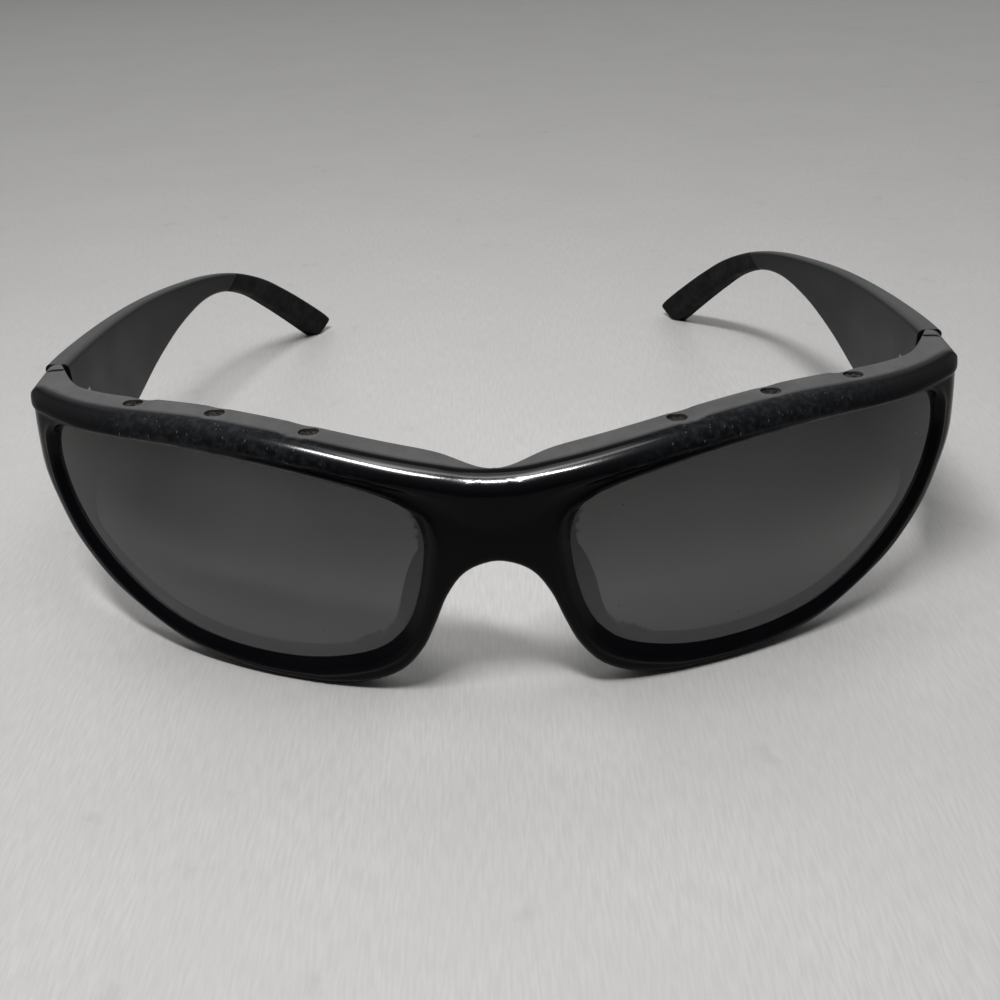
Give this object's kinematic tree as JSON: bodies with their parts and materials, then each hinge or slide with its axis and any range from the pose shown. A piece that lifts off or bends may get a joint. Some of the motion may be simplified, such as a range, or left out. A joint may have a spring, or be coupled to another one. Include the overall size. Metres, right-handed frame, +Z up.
{
  "type": "wraparound sport sunglasses",
  "caption": "Wraparound sport sunglasses with a rolled, vented brow, curved tinted lenses, rubber nose pads and ear grips, and temples that fold inwards.",
  "frame": {"origin": "middle of the bounding box at table height, with the temples open", "axes": "+Z up, the front faces -Y, +X towards the wearer's left side"},
  "size_m": [0.146, 0.1429, 0.0398],
  "materials": {
    "frame_plastic": "satin black nylon, polished by wear along the brow",
    "temple_plastic": "satin black nylon",
    "lens": "dark neutral grey polycarbonate with a hard coat",
    "seal_foam": "perished black foam",
    "soft_rubber": "matte soft rubber",
    "grip_rubber": "matte black rubber",
    "hinge_metal": "dark oxidised steel",
    "screw_metal": "satin stainless steel",
    "vent_foam": "dusty open-cell foam"
  },
  "bodies": {
    "front": {"front_frame": "frame_plastic", "lens_left": "lens", "lens_right": "lens", "lens_gasket_left": "seal_foam", "lens_gasket_right": "seal_foam", "nose_pad_left": "soft_rubber", "nose_pad_right": "soft_rubber", "hinge_front_leaf_left": "hinge_metal", "hinge_front_leaf_right": "hinge_metal", "hinge_screw_left": "screw_metal", "hinge_screw_right": "screw_metal", "front_leaf_screws_left": "screw_metal", "front_leaf_screws_right": "screw_metal", "vent_foam_inner_left": "vent_foam", "vent_foam_inner_right": "vent_foam", "vent_foam_middle_left": "vent_foam", "vent_foam_middle_right": "vent_foam", "vent_foam_outer_left": "vent_foam", "vent_foam_outer_right": "vent_foam"},
    "temple_left": {"temple_left": "temple_plastic", "temple_grip_left": "grip_rubber", "hinge_temple_leaf_left": "hinge_metal", "temple_leaf_screws_left": "screw_metal"},
    "temple_right": {"temple_right": "temple_plastic", "temple_grip_right": "grip_rubber", "hinge_temple_leaf_right": "hinge_metal", "temple_leaf_screws_right": "screw_metal"}
  },
  "joints": [
    {"name": "left_temple_fold", "type": "hinge", "parent": "front", "child": "temple_left", "pos_m": [0.0685, -0.0304, 0.02625], "axis": [0, 0, 1], "range_deg": [0, 90]},
    {"name": "right_temple_fold", "type": "hinge", "parent": "front", "child": "temple_right", "pos_m": [-0.0685, -0.0304, 0.02625], "axis": [0, 0, -1], "range_deg": [0, 76]}
  ]
}
